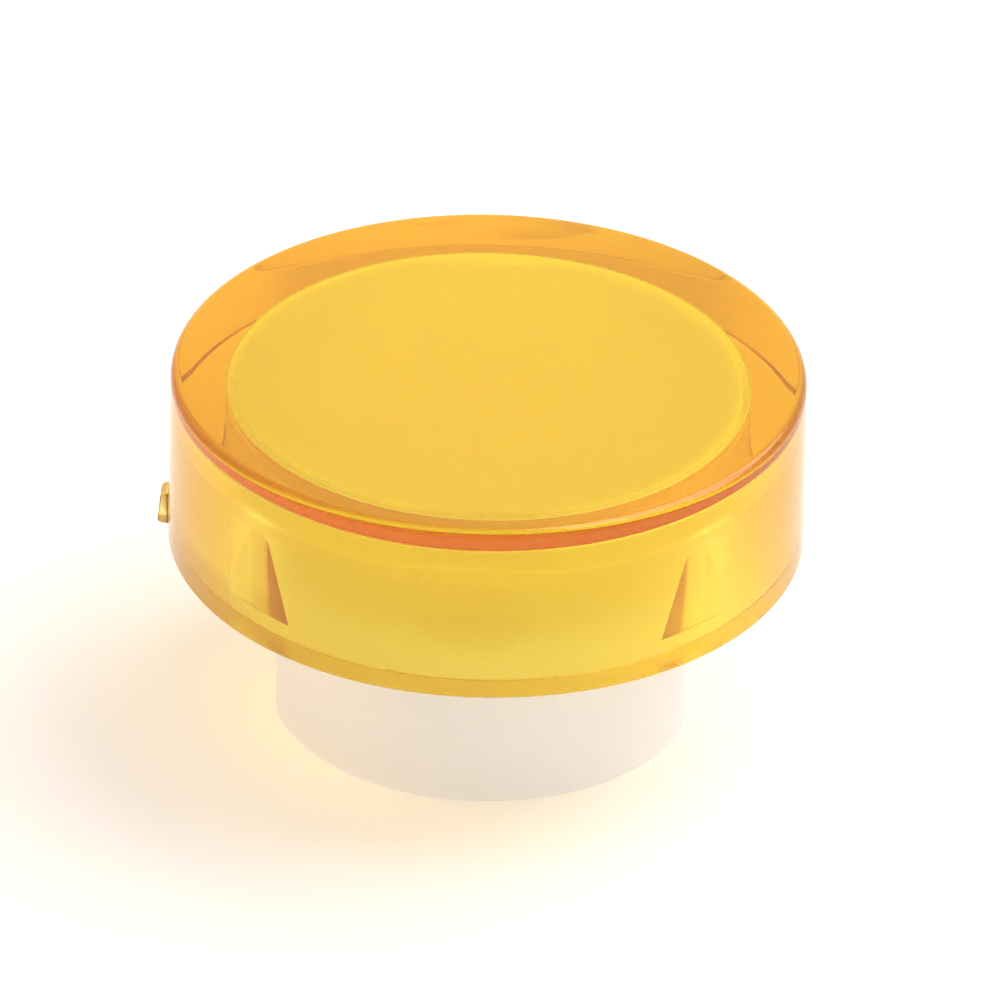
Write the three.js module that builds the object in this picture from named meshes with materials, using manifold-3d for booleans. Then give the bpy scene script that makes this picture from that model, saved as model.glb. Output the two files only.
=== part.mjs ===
// Lens cap and light diffuser of an illuminated 22 mm push-button, in millimetres.
// +Z is up along the round axis, the origin is at the centre of the diffuser tube's open end.
import * as THREE from "three";
import { ConvexGeometry } from "three/addons/geometries/ConvexGeometry.js";
import { mergeVertices } from "three/addons/utils/BufferGeometryUtils.js";
import Module from "manifold-3d";

const wasm = await Module();
wasm.setup();

// Heights along the axis
const CAP_FOOT = 7.1; // the lens cap's lower rim above the tube's open end
const CAP_HEIGHT = 7.14;
const PLATE = 1.6; // thickness of the cap's window
const GAP = 0.3; // clearance between the window and the diffuser's disc
const DISC = 1.0; // thickness of the diffuser's disc

// Lens cap
const CAP_R = 12.0;
const DRAFT = 0.1; // the cap's wall is this much wider at its lower rim
const RIM_FILLET = 0.3;
const WALL_R = 9.93; // inner wall
const CORNER_FILLET = 0.12;
const MOUTH_CHAMFER = 0.05;
const FOOT_FILLET = 0.15;
const ROUND = 96; // facets round the cap

// Wedge ribs on the inner wall below the diffuser's disc, at these angles from the front
const RIB_ANGLES = [47.5, 132.5, 227.5, 312.5];
const RIB_LEDGE = 0.6;
const RIB_TOP = 4.05;
const RIB_DEPTH = 0.25; // at its foot; the disc still passes it
const RIB_FACE = 0.5; // half the width of its front
const RIB_FOOT = 1.55; // half its width at the ledge

// Snap ridges on the inner wall, front and back, each flat-faced
const RIDGE_HALF_WIDTH = 2.4;
const RIDGE_TOP = 4.1;
const RIDGE = 2.67;
const RIDGE_FOOT = 0.7;
const RIDGE_REACH = 9.65; // from the axis to the ridge

// Key on the outside of the cap's left edge, which stops it turning in its bezel
const KEY_WIDTH = 1.0;
const KEY_HEIGHT = 1.25;
const KEY_OUT_TOP = 0.3;
const KEY_OUT_FOOT = 0.42;

// Diffuser
const DISC_R = 9.6;
const DISC_FLAT = 9.2; // half the width over the disc's flats, which pass the snap ridges
const TUBE_R = 8.2;
const TUBE_FLAT = 7.8; // half the width over the tube's flats
const TUBE_CORNER = 1.0;
const TUBE_WALL = 1.0;
const BORE_CORNER = 0.3;

const CEILING = CAP_FOOT + CAP_HEIGHT - PLATE;
const DISC_TOP = CEILING - GAP;
const DISC_FOOT = DISC_TOP - DISC;

const amber = new THREE.MeshStandardMaterial({ color: 0xf2a51e, roughness: 0.08, metalness: 0 });
const white = new THREE.MeshStandardMaterial({ color: 0xf1eee8, roughness: 0.55, metalness: 0 });

// A closed geometry as a manifold solid.
function solid(geometry) {
  const bare = geometry.clone();
  bare.deleteAttribute("normal");
  bare.deleteAttribute("uv");
  const merged = mergeVertices(bare, 1e-4);
  return new wasm.Manifold(
    new wasm.Mesh({
      numProp: 3,
      vertProperties: merged.attributes.position.array,
      triVerts: new Uint32Array(merged.index.array),
    }),
  );
}

// A manifold solid as a named mesh.
function piece(name, made, material) {
  const out = made.getMesh();
  const geometry = new THREE.BufferGeometry();
  geometry.setAttribute("position", new THREE.BufferAttribute(out.vertProperties, 3));
  geometry.setIndex(new THREE.BufferAttribute(out.triVerts, 1));
  geometry.computeVertexNormals();
  const mesh = new THREE.Mesh(geometry, material);
  mesh.name = name;
  return mesh;
}

// Points of a quarter-circle fillet, from one angle to the other in degrees.
function arc(cx, cy, r, from, to, steps) {
  const points = [];
  for (let i = 0; i <= steps; i++) {
    const a = THREE.MathUtils.degToRad(from + ((to - from) * i) / steps);
    points.push(new THREE.Vector2(cx + r * Math.cos(a), cy + r * Math.sin(a)));
  }
  return points;
}

// A profile in radius and height, turned about +Z.
function turned(points, segments) {
  return new THREE.LatheGeometry(points, segments).rotateX(Math.PI / 2);
}

// A flat outline in X and Y, raised from one height to another.
function raised(shape, from, to, curve) {
  const options = { depth: to - from, bevelEnabled: false, curveSegments: curve };
  return new THREE.ExtrudeGeometry(shape, options).translate(0, 0, from);
}

// The cup of the lens cap: window, wall, rounded rim and chamfered mouth.
function capCup() {
  const foot = CAP_FOOT;
  const top = CAP_FOOT + CAP_HEIGHT;
  const outer = CAP_R + DRAFT;
  return solid(
    turned(
      [
        new THREE.Vector2(0, CEILING),
        ...arc(WALL_R - CORNER_FILLET, CEILING - CORNER_FILLET, CORNER_FILLET, 90, 0, 3),
        new THREE.Vector2(WALL_R, foot + MOUTH_CHAMFER),
        new THREE.Vector2(WALL_R + MOUTH_CHAMFER, foot),
        ...arc(outer - FOOT_FILLET, foot + FOOT_FILLET, FOOT_FILLET, 270, 360, 2),
        ...arc(CAP_R - RIM_FILLET, top - RIM_FILLET, RIM_FILLET, 0, 90, 5),
        new THREE.Vector2(0, top),
      ],
      ROUND,
    ),
  );
}

// One rib: flat in front, with slanting sides that flare downwards, level underneath.
function wedgeRib(angle) {
  const low = CAP_FOOT + RIB_LEDGE;
  const high = CAP_FOOT + RIB_TOP;
  const back = WALL_R + 0.6;
  const points = [];
  for (const side of [-1, 1]) {
    points.push(new THREE.Vector3(side * RIB_FOOT, -back, low));
    points.push(new THREE.Vector3(side * RIB_FOOT, -Math.sqrt(WALL_R ** 2 - RIB_FOOT ** 2), low));
    points.push(new THREE.Vector3(side * RIB_FACE, -(WALL_R - RIB_DEPTH), low));
    points.push(new THREE.Vector3(side * RIB_FACE, -WALL_R, high));
    points.push(new THREE.Vector3(side * RIB_FACE, -back, high));
  }
  return solid(new ConvexGeometry(points).rotateZ(THREE.MathUtils.degToRad(angle)));
}

// One snap ridge: a short catch slope above it and a long lead-in below it.
function snapRidge(angle) {
  const side = new THREE.Shape([
    new THREE.Vector2(WALL_R + 0.4, CAP_FOOT + RIDGE_FOOT),
    new THREE.Vector2(WALL_R + 0.4, CAP_FOOT + RIDGE_TOP),
    new THREE.Vector2(RIDGE_REACH + 0.15, CAP_FOOT + RIDGE_TOP),
    new THREE.Vector2(RIDGE_REACH, CAP_FOOT + RIDGE),
    new THREE.Vector2(WALL_R - 0.01, CAP_FOOT + RIDGE_FOOT),
  ]);
  const bar = raised(side, -RIDGE_HALF_WIDTH, RIDGE_HALF_WIDTH, 1);
  bar.rotateX(Math.PI / 2);
  return solid(bar.rotateZ(THREE.MathUtils.degToRad(angle - 90)));
}

// The small key that stands out of the cap's left edge.
function edgeKey() {
  const foot = CAP_FOOT;
  const top = CAP_FOOT + KEY_HEIGHT;
  const out = CAP_R + DRAFT;
  const side = new THREE.Shape([
    new THREE.Vector2(-(out - 0.6), foot + 0.02),
    new THREE.Vector2(-(out - 0.6), top),
    new THREE.Vector2(-(out + KEY_OUT_TOP - 0.12), top),
    new THREE.Vector2(-(out + KEY_OUT_TOP), top - 0.12),
    new THREE.Vector2(-(out + KEY_OUT_FOOT), foot + 0.14),
    new THREE.Vector2(-(out + KEY_OUT_FOOT - 0.12), foot + 0.02),
  ]);
  return solid(raised(side, -KEY_WIDTH / 2, KEY_WIDTH / 2, 1).rotateX(Math.PI / 2));
}

// A circle with two flats across X, its four corners rounded.
function doubleD(r, flat, corner) {
  // The rounding circle touches the flat and lies inside the big circle.
  const cx = flat - corner;
  const cy = Math.sqrt((r - corner) ** 2 - cx ** 2);
  const turn = Math.atan2(cy, cx);
  const path = new THREE.Shape();
  path.absarc(cx, cy, corner, 0, turn, false);
  path.absarc(0, 0, r, turn, Math.PI - turn, false);
  path.absarc(-cx, cy, corner, Math.PI - turn, Math.PI, false);
  path.absarc(-cx, -cy, corner, Math.PI, Math.PI + turn, false);
  path.absarc(0, 0, r, Math.PI + turn, 2 * Math.PI - turn, false);
  path.absarc(cx, -cy, corner, -turn, 0, false);
  path.closePath();
  return path;
}

// The tube of the diffuser: its outline less its bore.
function diffuserTube() {
  const outline = doubleD(TUBE_R, TUBE_FLAT, TUBE_CORNER);
  const hollow = doubleD(TUBE_R - TUBE_WALL, TUBE_FLAT - TUBE_WALL, BORE_CORNER);
  const body = solid(raised(outline, 0, DISC_FOOT + 0.2, 12));
  return body.subtract(solid(raised(hollow, -1, DISC_FOOT, 12)));
}

// The disc of the diffuser: round at the sides, flat at the front and back.
function diffuserDisc() {
  const turn = Math.asin(DISC_FLAT / DISC_R);
  const shape = new THREE.Shape();
  shape.absarc(0, 0, DISC_R, -turn, turn, false);
  shape.absarc(0, 0, DISC_R, Math.PI - turn, Math.PI + turn, false);
  shape.closePath();
  return solid(raised(shape, DISC_FOOT, DISC_TOP, 36));
}

function lensCap() {
  let made = capCup();
  for (const angle of [0, 180]) {
    made = made.add(snapRidge(angle));
  }
  for (const angle of RIB_ANGLES) {
    made = made.add(wedgeRib(angle));
  }
  return made.add(edgeKey());
}

function diffuser() {
  return diffuserTube().add(diffuserDisc());
}

const group = new THREE.Group();
group.name = "pushbutton_lens";
group.add(piece("lens_cap", lensCap(), amber));
group.add(piece("diffuser", diffuser(), white));

export default group;
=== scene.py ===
"""Amber lens cap clipped over a white light diffuser, the lens of an illuminated push-button."""
import math

import bmesh
import bpy
import numpy as np
from mathutils import Matrix, Vector


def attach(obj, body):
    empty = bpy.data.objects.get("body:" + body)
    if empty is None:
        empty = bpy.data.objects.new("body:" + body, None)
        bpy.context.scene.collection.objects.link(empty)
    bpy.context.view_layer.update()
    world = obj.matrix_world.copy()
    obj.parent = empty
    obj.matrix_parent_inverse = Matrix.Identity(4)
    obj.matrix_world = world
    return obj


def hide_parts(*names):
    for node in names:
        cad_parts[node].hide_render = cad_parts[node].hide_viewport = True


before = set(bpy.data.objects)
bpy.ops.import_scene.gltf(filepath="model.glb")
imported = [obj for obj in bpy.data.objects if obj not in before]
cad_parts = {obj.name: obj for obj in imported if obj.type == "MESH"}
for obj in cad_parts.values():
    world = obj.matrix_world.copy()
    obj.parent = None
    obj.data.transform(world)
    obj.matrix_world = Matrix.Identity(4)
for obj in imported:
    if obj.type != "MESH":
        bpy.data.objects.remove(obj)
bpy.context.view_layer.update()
MM = 0.001

# Heights along the axis, in millimetres
FOOT = 7.1  # the cap's lower rim
TOP = 14.24
CEILING = 12.64
DISC_TOP = 12.58
DISC_FOOT = 11.34

# Lens cap
CAP_R = 12.0
DRAFT = 0.1
RIM = 0.38
WALL_R = 9.93
CORNER = 0.12
MOUTH = 0.05
FOOT_R = 0.15

# Wedge-shaped ribs on the cap's inner wall: flat in front, with slanting sides that flare downwards
RIBS = (48.5, 131.5, 228.5, 311.5)
LEDGE = 0.6
RIB_TOP = 4.05
RIB_DEPTH = 0.25
RIB_FACE = 0.45  # half the width of its front
RIB_FOOT = 1.5  # half its width at the ledge
FRONT_SHARE = 0.4  # the share of its columns that its front takes

# Snap pads on the inner wall, front and back, each with a flat-faced ridge
PAD_HALF = 3.25
PAD_STEP = 0.02
PAD_SOFT = 0.56  # the width over which a pad's sides rise
RIDGE_FOOT = 0.7
RIDGE = 2.67
RIDGE_TOP = 4.1
RIDGE_DEPTH = (0.0, 0.28, 0.13)  # at its foot, ridge and top

# Outer key at the left
KEY_AT = 270.0
KEY_HALF = 0.5
KEY_HIGH = 1.25
KEY_OUT = (0.42, 0.3)  # at its foot and its top
KEY_SOFT = 0.16  # the width over which its sides and top rise

# Half the angle that each feature's own columns take round the cap, in degrees
PAD_TURN = 22.0
RIB_TURN = 12.0
KEY_TURN = 6.0

# How satin the cap's skin is: 0 on its polished faces, 1 on its inner wall, ceiling, foot and key
INNER_REACH = 10.6  # the inner wall and ceiling lie nearer to the axis than this
FOOT_BAND = 0.16  # the foot and its edges lie in this lowest band
CORNER_REACH = 9.6  # the corner under the window lies further from the axis than this
CORNER_LOW = 11.5  # and above this height
CORNER_SATIN = 0.6
RIB_SATIN = 0.85

# Diffuser
DISC_R = 9.6
DISC_FLAT = 9.2
TUBE_R = 8.2
TUBE_FLAT = 7.8
TUBE_CORNER = 1.0
TUBE_WALL = 1.0
DISC_EDGE = 0.12
DISC_UNDER = 0.1  # fillet under the disc's edge
TUBE_ROOT = 0.25  # fillet between the disc and the tube
LIP_OUT = 0.18  # fillets on the tube's open end, outside and inside
LIP_IN = 0.12
ROOF_FILLET = 0.3  # fillet between the bore and its roof

TINY = 0.01
SHARP = 9  # edges that bend by more degrees than this are shaded sharp
FILLET_STEPS = 12


def satin_share(points):
    """How satin the cap's skin is at each point, from 0 to 1."""
    reach = np.hypot(points[:, 0], points[:, 1])
    wall = (reach < INNER_REACH) & (points[:, 2] < CEILING + TINY)
    foot = points[:, 2] < FOOT + FOOT_BAND
    key = reach > CAP_R + DRAFT + TINY
    share = (wall | foot | key).astype(np.float32)
    share[wall & (points[:, 2] > CORNER_LOW) & (reach > CORNER_REACH)] = CORNER_SATIN
    around = np.degrees(np.arctan2(points[:, 0], -points[:, 1])) % 360
    near = np.min([np.abs(around - centre) for centre in RIBS], axis=0) < math.degrees(RIB_FOOT / WALL_R)
    height = points[:, 2] - FOOT
    share[near & (reach < WALL_R + TINY) & (height > LEDGE - TINY) & (height < RIB_TOP)] = RIB_SATIN
    return share


def grid_mesh(name, points, satin=None):
    """A closed mesh from rows of points that go round; the first and last rows may be one repeated point.
    Where satin is given, it works out the attribute of that name from the points in millimetres."""
    rows, cols, _ = points.shape
    flat = np.round(points.reshape(-1, 3), 5)
    kept, index = np.unique(flat, axis=0, return_inverse=True)
    index = index.reshape(rows, cols)
    faces = []
    for i in range(rows - 1):
        for j in range(cols):
            k = (j + 1) % cols
            ring = [index[i, j], index[i, k], index[i + 1, k], index[i + 1, j]]
            face = [int(v) for n, v in enumerate(ring) if v != ring[n - 1]]
            if len(face) > 2 and len(set(face)) == len(face):
                faces.append(face)
    mesh = bpy.data.meshes.new(name)
    mesh.from_pydata((kept * MM).tolist(), [], faces)
    if satin is not None:
        mesh.attributes.new("satin", "FLOAT", "POINT").data.foreach_set("value", satin(kept))
    mesh.update()
    bm = bmesh.new()
    bm.from_mesh(mesh)
    bmesh.ops.recalc_face_normals(bm, faces=bm.faces)
    if bm.calc_volume(signed=True) < 0:
        bmesh.ops.reverse_faces(bm, faces=bm.faces)
    for face in bm.faces:
        face.smooth = True
    for edge in bm.edges:
        if len(edge.link_faces) == 2:
            edge.smooth = edge.calc_face_angle(0.0) < math.radians(SHARP)
    bm.to_mesh(mesh)
    bm.free()
    made = bpy.data.objects.new(name, mesh)
    bpy.context.scene.collection.objects.link(made)
    return made


def arc(cx, cz, r, start, stop):
    """Points (radius, height) along a fillet."""
    turn = np.radians(np.linspace(start, stop, FILLET_STEPS + 1))
    return [(cx + r * math.cos(t), cz + r * math.sin(t)) for t in turn]


def rib_point(u, height):
    """A point across a rib, u from -1 to 1: its angle from the rib's centre in degrees, and its radius."""
    share = min(1.0, max(0.0, (RIB_TOP - height) / (RIB_TOP - LEDGE)))
    half = RIB_FACE + (RIB_FOOT - RIB_FACE) * share
    front = WALL_R - RIB_DEPTH * share
    if abs(u) <= FRONT_SHARE:
        x, y = RIB_FACE * abs(u) / FRONT_SHARE, front
    else:
        along = (abs(u) - FRONT_SHARE) / (1 - FRONT_SHARE)
        x = RIB_FACE + (half - RIB_FACE) * along
        y = front + (math.sqrt(WALL_R**2 - half**2) - front) * along
    return math.copysign(math.degrees(math.atan2(x, y)), u), min(WALL_R, math.hypot(x, y))


def rib_angle(u, height):
    """A rib column's angle from the rib's centre at any height; above the rib the columns fan out again."""
    fan = min(1.0, max(0.0, (height - RIB_TOP) / (CEILING - FOOT - RIB_TOP - CORNER)))
    near = rib_point(max(-1.0, min(1.0, u)), max(LEDGE, height))[0]
    near += fan * (rib_point(max(-1.0, min(1.0, u)), LEDGE)[0] - near)
    if abs(u) <= 1:
        return near
    return near + math.copysign((abs(u) - 1) * (RIB_TURN - abs(near)), u)


def columns():
    """Every column of points round the cap: (kind, centre angle, where across it)."""
    out = []
    places = [("pad", 0.0, PAD_TURN), ("pad", 180.0, PAD_TURN), ("key", KEY_AT, KEY_TURN)]
    places += [("rib", a, RIB_TURN) for a in RIBS]
    places.sort(key=lambda p: p[1])
    at = -PAD_TURN
    for kind, centre, half in places:
        for a in np.arange(at, centre - half - TINY, 1.0):
            out.append(("plain", a, 0.0))
        if kind == "rib":
            side = np.concatenate([np.linspace(FRONT_SHARE, 1, 8), np.linspace(1, 2, 7)[1:]])
            across = np.concatenate([-side[::-1], np.linspace(-FRONT_SHARE, FRONT_SHARE, 7)[1:-1], side])
        elif kind == "pad":
            edge = math.degrees(math.asin(PAD_HALF / WALL_R))
            close = np.array([-1.6, -0.8, 0.0, 0.8, 1.6])
            middle = np.linspace(-edge + 2.0, edge - 2.0, 45)
            ends = np.array([PAD_TURN - 0.6, PAD_TURN])
            across = np.concatenate([-ends[::-1], -edge + close, middle, edge + close, ends])
        else:
            edge = math.degrees(KEY_HALF / CAP_R)
            near = np.linspace(-0.9, 0.9, 9)
            ends = np.array([3.6, 4.5, KEY_TURN])
            middle = [-1, -0.5, 0, 0.5, 1]
            across = np.concatenate([-ends[::-1], -edge + near, middle, edge + near, ends])
        out += [(kind, centre, float(u)) for u in across[:-1]]
        at = centre + half
    for a in np.arange(at, 360 - PAD_TURN - TINY, 1.0):
        out.append(("plain", a, 0.0))
    return out


def angle_of(column, height):
    """A column's angle from the front, in degrees, at a height above the cap's foot."""
    kind, centre, u = column
    if kind == "plain":
        return centre
    if kind != "rib":
        return centre + u
    return centre + rib_angle(u, height)


def inner_radius(column, angle, height, below_ledge):
    """The inner wall's radius, with its ribs, pads and ridges."""
    kind, centre, u = column
    turn = math.radians(angle - centre)
    if kind == "rib" and abs(u) < 1 and LEDGE <= height <= RIB_TOP and not below_ledge:
        return rib_point(u, height)[1]
    if kind == "pad":
        high = [RIDGE_FOOT, RIDGE - 0.03, RIDGE + 0.03, RIDGE_TOP - 0.03, RIDGE_TOP]
        low, ridge, top = RIDGE_DEPTH
        face = WALL_R - float(np.interp(height, high, [low, ridge, ridge, top, 0]))
        step = PAD_STEP if height < RIDGE_TOP - 0.02 else 0.0
        side = abs(WALL_R * math.sin(turn)) - PAD_HALF
        round_face = WALL_R - step * float(np.clip(0.5 - side / PAD_SOFT, 0, 1))
        return min(round_face, face / math.cos(turn))
    return WALL_R


def key_out(column, height):
    """How far the outer key stands out of the wall."""
    kind, _, u = column
    if kind != "key":
        return 0.0
    side = abs(math.radians(u)) * CAP_R - KEY_HALF
    soft = [float(np.clip(0.5 - d / KEY_SOFT, 0, 1)) for d in (side, height - KEY_HIGH)]
    soft = [s * s * (3 - 2 * s) for s in soft]
    reach = float(np.interp(height, [0, KEY_HIGH], KEY_OUT))
    return reach * soft[0] * soft[1]


def lens_cap():
    """The cap as one closed skin: window, rim, outer wall with its key, foot, mouth, inner wall, ceiling."""
    high = TOP - FOOT
    roof = CEILING - FOOT
    rows = [("skin", r, high) for r in (0, 2, 4, 6, 8, 9.5, 10.5, 11.2)]
    rows += [("skin", r, z) for r, z in reversed(arc(CAP_R - RIM, high - RIM, RIM, 0, 90))]
    heights = [6.2, 5, 4, 3, 2.2, 1.7, 1.5, 1.4, 1.35, 1.3, 1.25, 1.2, 1.15, 1.1, 0.9, 0.7, 0.5, 0.35, 0.25]
    rows += [("wall", CAP_R + DRAFT * (1 - z / high), z) for z in heights]
    outer = CAP_R + DRAFT
    rows += [("wall", r, z) for r, z in reversed(arc(outer - FOOT_R, FOOT_R, FOOT_R, 270, 360))]
    rows += [("skin", r, 0.0) for r in (11.6, 11.2, 10.8, WALL_R + MOUTH)]
    rows += [("inner", WALL_R + MOUTH - 0.02, 0.02)]
    rows += [("inner", WALL_R, z) for z in (MOUTH, 0.2, 0.4, LEDGE)]
    rows += [("ledge", WALL_R, LEDGE)]
    fine = set(np.round(np.arange(LEDGE + 0.05, RIB_TOP, 0.08), 4).tolist())
    fine |= {0.65, 0.75, 2.63, 2.71, 4.07, RIDGE_TOP}
    rows += [("ledge", WALL_R, z) for z in sorted(fine)]
    rows += [("ledge", WALL_R, z) for z in (4.16, 4.3, 4.4, 4.6, 5.0)]
    rows += [("corner", r, z) for r, z in arc(WALL_R - CORNER, roof - CORNER, CORNER, 0, 90)]
    rows += [("skin", r, roof) for r in (9.3, 8.5, 7, 5, 3, 1.5, 0)]
    around = columns()
    points = np.zeros((len(rows), len(around), 3))
    for i, (kind, radius, z) in enumerate(rows):
        for j, column in enumerate(around):
            # Outside the inner wall, the columns keep the angles that they have at the ledge.
            level = z if kind in ("inner", "ledge", "corner") or radius < WALL_R else LEDGE
            turn = angle_of(column, level)
            r = radius
            if kind == "wall":
                r += key_out(column, z)
            elif kind in ("inner", "ledge", "corner"):
                r += inner_radius(column, turn, z, kind == "inner") - WALL_R
            a = math.radians(turn)
            points[i, j] = (r * math.sin(a), -r * math.cos(a), FOOT + z)
    return grid_mesh("lens_cap_clear", points, satin_share)


def tube_outline(turn, inset):
    """The tube's radius at an angle from +X, after moving its wall inwards."""
    r, flat = TUBE_R - inset, TUBE_FLAT - inset
    corner = max(0.25, TUBE_CORNER - inset)
    cx = flat - corner
    cy = math.sqrt((r - corner) ** 2 - cx**2)
    t = math.asin(min(1.0, abs(math.sin(turn))))
    if t >= math.atan2(cy, cx):
        return r
    if t <= math.atan2(cy, flat):
        return flat / math.cos(t)
    off = cx * math.sin(t) - cy * math.cos(t)
    return cx * math.cos(t) + cy * math.sin(t) + math.sqrt(max(0.0, corner**2 - off**2))


def disc_outline(turn, inset):
    """The disc's radius at an angle from +X: round at the sides, flat at the front and back."""
    return min(DISC_R - inset, (DISC_FLAT - inset) / max(1e-6, abs(math.sin(turn))))


def diffuser():
    """The diffuser as one closed skin: disc, its underside, the tube's outside, lip, bore, inner roof.
    A row is (outline, how far inside it, share of the way from the axis, height)."""
    bore = TUBE_R - TUBE_WALL
    edge = reversed(arc(DISC_R - DISC_EDGE, DISC_TOP - DISC_EDGE, DISC_EDGE, 0, 90))
    under = reversed(arc(DISC_R - DISC_UNDER, DISC_FOOT + DISC_UNDER, DISC_UNDER, 270, 360))
    root = arc(TUBE_R + TUBE_ROOT, DISC_FOOT - TUBE_ROOT, TUBE_ROOT, 90, 180)
    lip_out = reversed(arc(TUBE_R - LIP_OUT, LIP_OUT, LIP_OUT, 270, 360))
    lip_in = reversed(arc(bore + LIP_IN, LIP_IN, LIP_IN, 180, 270))
    roof = arc(bore - ROOF_FILLET, DISC_FOOT - ROOF_FILLET, ROOF_FILLET, 0, 90)
    rows = [("disc", None, s, DISC_TOP) for s in (0, 0.2, 0.4, 0.6, 0.8, 0.95)]
    rows += [("disc", DISC_R - r, 1, z) for r, z in edge]
    rows += [("disc", 0, 1, z) for z in (DISC_TOP - 0.4, DISC_FOOT + 0.3)]
    rows += [("disc", DISC_R - r, 1, z) for r, z in under]
    rows += [("tube", -0.6, 1, DISC_FOOT), ("tube", -0.3, 1, DISC_FOOT)]
    rows += [("tube", TUBE_R - r, 1, z) for r, z in root]
    rows += [("tube", 0, 1, z) for z in (9, 7, 5, 3, 1.2, 0.6)]
    rows += [("tube", TUBE_R - r, 1, z) for r, z in lip_out]
    rows += [("tube", 0.5, 1, 0)]
    rows += [("tube", TUBE_R - r, 1, z) for r, z in lip_in]
    rows += [("tube", TUBE_WALL, 1, z) for z in (0.6, 2, 5, 8, 10.4)]
    rows += [("tube", TUBE_R - r, 1, z) for r, z in roof]
    rows += [("tube", None, s, DISC_FOOT) for s in (0.85, 0.6, 0.3, 0)]
    turns = set(np.round(np.arange(0, 360, 1.0), 4).tolist())
    for base in (0, 180):
        for side in (-1, 1):
            turns |= set(np.round(np.linspace(base + side * 12, base + side * 24, 33) % 360, 4).tolist())
    turns = sorted(turns)
    points = np.zeros((len(rows), len(turns), 3))
    for i, (kind, inset, share, z) in enumerate(rows):
        for j, degrees in enumerate(turns):
            a = math.radians(degrees)
            if kind == "disc":
                r = disc_outline(a, inset or 0.0)
            else:
                r = tube_outline(a, TUBE_WALL + ROOF_FILLET if inset is None else inset)
            points[i, j] = (r * share * math.cos(a), r * share * math.sin(a), z)
    return grid_mesh("diffuser_white", points)


def new_material(name):
    made = bpy.data.materials.new(name)
    made.use_nodes = True
    tree = made.node_tree
    tree.nodes.clear()
    out = tree.nodes.new("ShaderNodeOutputMaterial")
    shader = tree.nodes.new("ShaderNodeBsdfPrincipled")
    tree.links.new(shader.outputs["BSDF"], out.inputs["Surface"])
    return made, tree, shader, out


def noise(tree, scale, detail=2.0, rough=0.5):
    """A noise texture in the object's own coordinates, scale in features per metre."""
    place = tree.nodes.new("ShaderNodeTexCoord")
    made = tree.nodes.new("ShaderNodeTexNoise")
    made.inputs["Scale"].default_value = scale
    made.inputs["Detail"].default_value = detail
    made.inputs["Roughness"].default_value = rough
    tree.links.new(place.outputs["Object"], made.inputs["Vector"])
    return made


def ranged(tree, source, low, high):
    """A noise spread over a range of values."""
    made = tree.nodes.new("ShaderNodeMapRange")
    made.inputs["From Min"].default_value = 0.35
    made.inputs["From Max"].default_value = 0.65
    made.inputs["To Min"].default_value = low
    made.inputs["To Max"].default_value = high
    tree.links.new(source.outputs["Fac"], made.inputs["Value"])
    return made


def bump(tree, source, shader, distance, strength):
    """Roughens a shader's surface by a noise, distance in metres."""
    made = tree.nodes.new("ShaderNodeBump")
    made.inputs["Distance"].default_value = distance
    made.inputs["Strength"].default_value = strength
    tree.links.new(source.outputs["Fac"], made.inputs["Height"])
    tree.links.new(made.outputs["Normal"], shader.inputs["Normal"])


def amber_plastic():
    """Clear amber, coloured by depth: polished outside, satin inside, with a trace of mould waviness."""
    made, tree, shader, out = new_material("amber_clear")
    shader.inputs["Base Color"].default_value = (1.0, 0.985, 0.95, 1)
    shader.inputs["Transmission Weight"].default_value = 1.0
    shader.inputs["IOR"].default_value = 1.5
    polished = ranged(tree, noise(tree, 900, 3), 0.0, 0.04)
    satin = ranged(tree, noise(tree, 2500, 3), 0.33, 0.37)
    share = tree.nodes.new("ShaderNodeAttribute")
    share.attribute_name = "satin"
    rough = tree.nodes.new("ShaderNodeMix")
    tree.links.new(share.outputs["Fac"], rough.inputs["Factor"])
    tree.links.new(polished.outputs["Result"], rough.inputs["A"])
    tree.links.new(satin.outputs["Result"], rough.inputs["B"])
    tree.links.new(rough.outputs["Result"], shader.inputs["Roughness"])
    bump(tree, noise(tree, 350, 1), shader, 0.00002, 0.15)
    depth = tree.nodes.new("ShaderNodeVolumeAbsorption")
    depth.inputs["Color"].default_value = (0.9865, 0.908, 0.02, 1)
    depth.inputs["Density"].default_value = 950.0
    tree.links.new(depth.outputs["Volume"], out.inputs["Volume"])
    return made


def white_plastic():
    """Milky white: light spreads a little way under a satin surface."""
    made, tree, shader, _ = new_material("white_diffusing")
    mottle = noise(tree, 260, 4)
    ramp = tree.nodes.new("ShaderNodeMix")
    ramp.data_type = "RGBA"
    ramp.inputs["A"].default_value = (0.89, 0.875, 0.845, 1)
    ramp.inputs["B"].default_value = (0.915, 0.9, 0.875, 1)
    tree.links.new(mottle.outputs["Fac"], ramp.inputs["Factor"])
    tree.links.new(ramp.outputs["Result"], shader.inputs["Base Color"])
    rough = ranged(tree, noise(tree, 1500, 3), 0.42, 0.56)
    tree.links.new(rough.outputs["Result"], shader.inputs["Roughness"])
    shader.inputs["IOR"].default_value = 1.5
    shader.inputs["Subsurface Weight"].default_value = 1.0
    shader.inputs["Subsurface Radius"].default_value = (1.0, 0.9, 0.75)
    shader.inputs["Subsurface Scale"].default_value = 0.0005
    bump(tree, noise(tree, 3500, 3), shader, 0.00001, 0.25)
    return made


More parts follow.
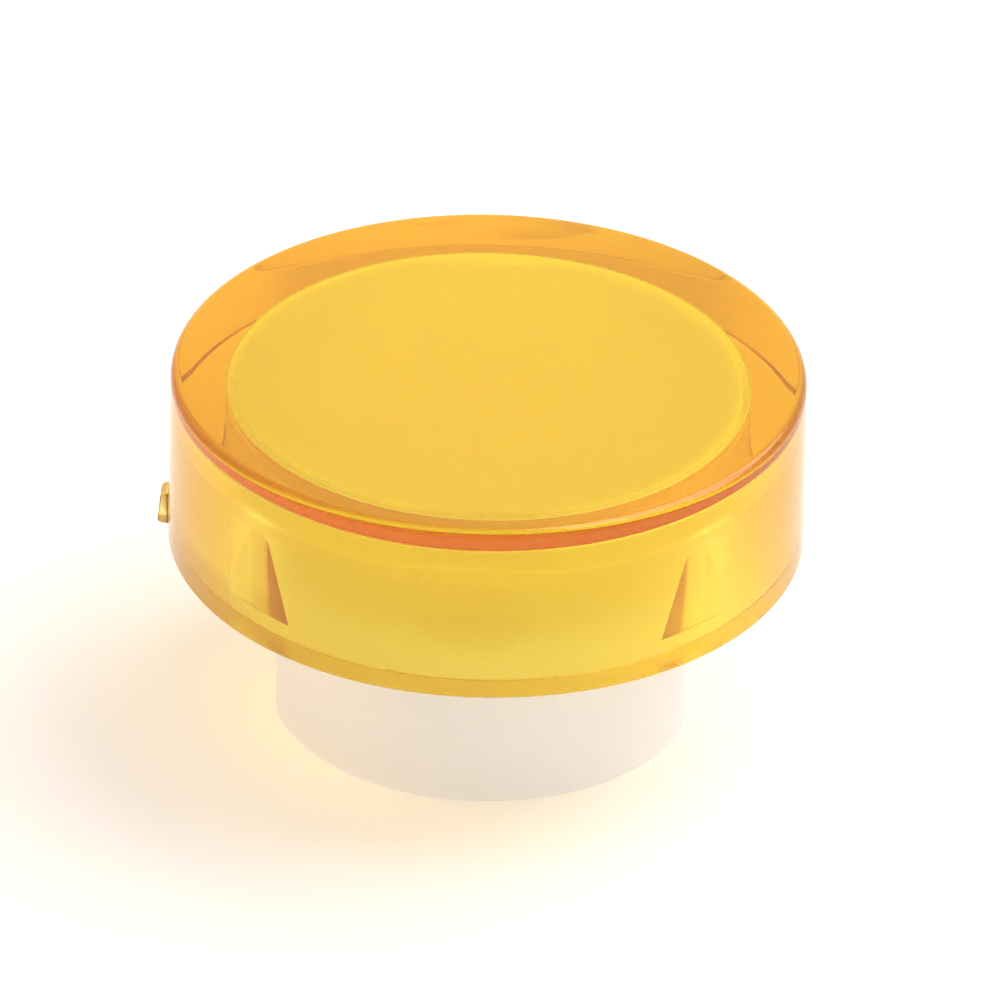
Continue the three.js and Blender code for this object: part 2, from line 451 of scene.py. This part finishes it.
def floor_material():
    made, tree, shader, _ = new_material("pale_floor_painted_glow")
    ramp = tree.nodes.new("ShaderNodeMix")
    ramp.data_type = "RGBA"
    ramp.inputs["A"].default_value = (0.88, 0.88, 0.88, 1)
    ramp.inputs["B"].default_value = (0.9, 0.9, 0.9, 1)
    tree.links.new(noise(tree, 60, 4).outputs["Fac"], ramp.inputs["Factor"])
    tree.links.new(ramp.outputs["Result"], shader.inputs["Base Color"])
    shader.inputs["Roughness"].default_value = 0.9
    shader.inputs["Specular IOR Level"].default_value = 0.1
    # Painted warm glow: the floor emits a faint warm light though it is no lamp, filling its shadow with
    # amber tint and warming the parts from below
    shader.inputs["Emission Color"].default_value = (1.0, 0.82, 0.62, 1)
    shader.inputs["Emission Strength"].default_value = 0.22
    return made


def floor():
    """A wide flat pale sheet under the part, whose material glows faintly warm as painted light."""
    reach, count = 1.2, 25
    steps = np.linspace(-reach, reach, count)
    mesh = bpy.data.meshes.new("floor")
    verts = [(float(x), float(y), 0.0) for y in steps for x in steps]
    corners = [j * count + i for j in range(count - 1) for i in range(count - 1)]
    faces = [(k, k + 1, k + count + 1, k + count) for k in corners]
    mesh.from_pydata(verts, [], faces)
    made = bpy.data.objects.new("floor", mesh)
    bpy.context.scene.collection.objects.link(made)
    mesh.materials.append(floor_material())


def area_light(name, place, aim, size, power, colour):
    data = bpy.data.lights.new(name, "AREA")
    data.shape = "RECTANGLE"
    data.size, data.size_y = size
    data.energy = power
    data.color = colour
    made = bpy.data.objects.new(name, data)
    made.location = place
    made.rotation_euler = (Vector(aim) - Vector(place)).to_track_quat("-Z", "Y").to_euler()
    bpy.context.scene.collection.objects.link(made)
    return made


def lights():
    world = bpy.data.worlds.new("studio")
    world.use_nodes = True
    back = world.node_tree.nodes["Background"]
    back.inputs["Color"].default_value = (1.0, 0.995, 0.985, 1)
    back.inputs["Strength"].default_value = 0.7
    bpy.context.scene.world = world
    area_light("key", (0.26, 0.13, 0.42), (0, 0, 0.008), (0.45, 0.45), 1.8, (1.0, 0.99, 0.97))


def camera():
    """Long lens from the front, 31 degrees above the floor, with the horizon tilted a little."""
    azimuth, elevation, roll = math.radians(2.0), math.radians(31.2), math.radians(1.25)
    distance = 344.8 * MM
    aside, above = 0.547 * MM, 1.099 * MM  # from the cap's foot to the middle of the view
    level = math.cos(elevation)
    back = Vector((math.sin(azimuth) * level, -math.cos(azimuth) * level, math.sin(elevation)))
    right = Vector((math.cos(azimuth), math.sin(azimuth), 0))
    up = back.cross(right)
    tilted_right = right * math.cos(roll) + up * math.sin(roll)
    tilted_up = up * math.cos(roll) - right * math.sin(roll)
    target = Vector((0, 0, FOOT * MM)) + tilted_right * aside + tilted_up * above
    data = bpy.data.cameras.new("camera")
    data.sensor_width = 36.0
    data.lens = 325.8
    data.clip_start = 0.01
    made = bpy.data.objects.new("camera", data)
    turn = Matrix((tilted_right, tilted_up, back)).transposed().to_4x4()
    made.matrix_world = Matrix.Translation(target + back * distance) @ turn
    bpy.context.scene.collection.objects.link(made)
    bpy.context.scene.camera = made


def dress(piece, material, body, node):
    piece.data.materials.append(material)
    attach(piece, body)
    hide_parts(node)


dress(lens_cap(), amber_plastic(), "lens_body", "lens_cap")
dress(diffuser(), white_plastic(), "diffuser_body", "diffuser")
floor()
lights()
camera()

scene = bpy.context.scene
scene.view_settings.view_transform = "Standard"
scene.cycles.max_bounces = 24
scene.cycles.transmission_bounces = 24
scene.cycles.glossy_bounces = 12
scene.cycles.diffuse_bounces = 6
scene.cycles.blur_glossy = 0.0
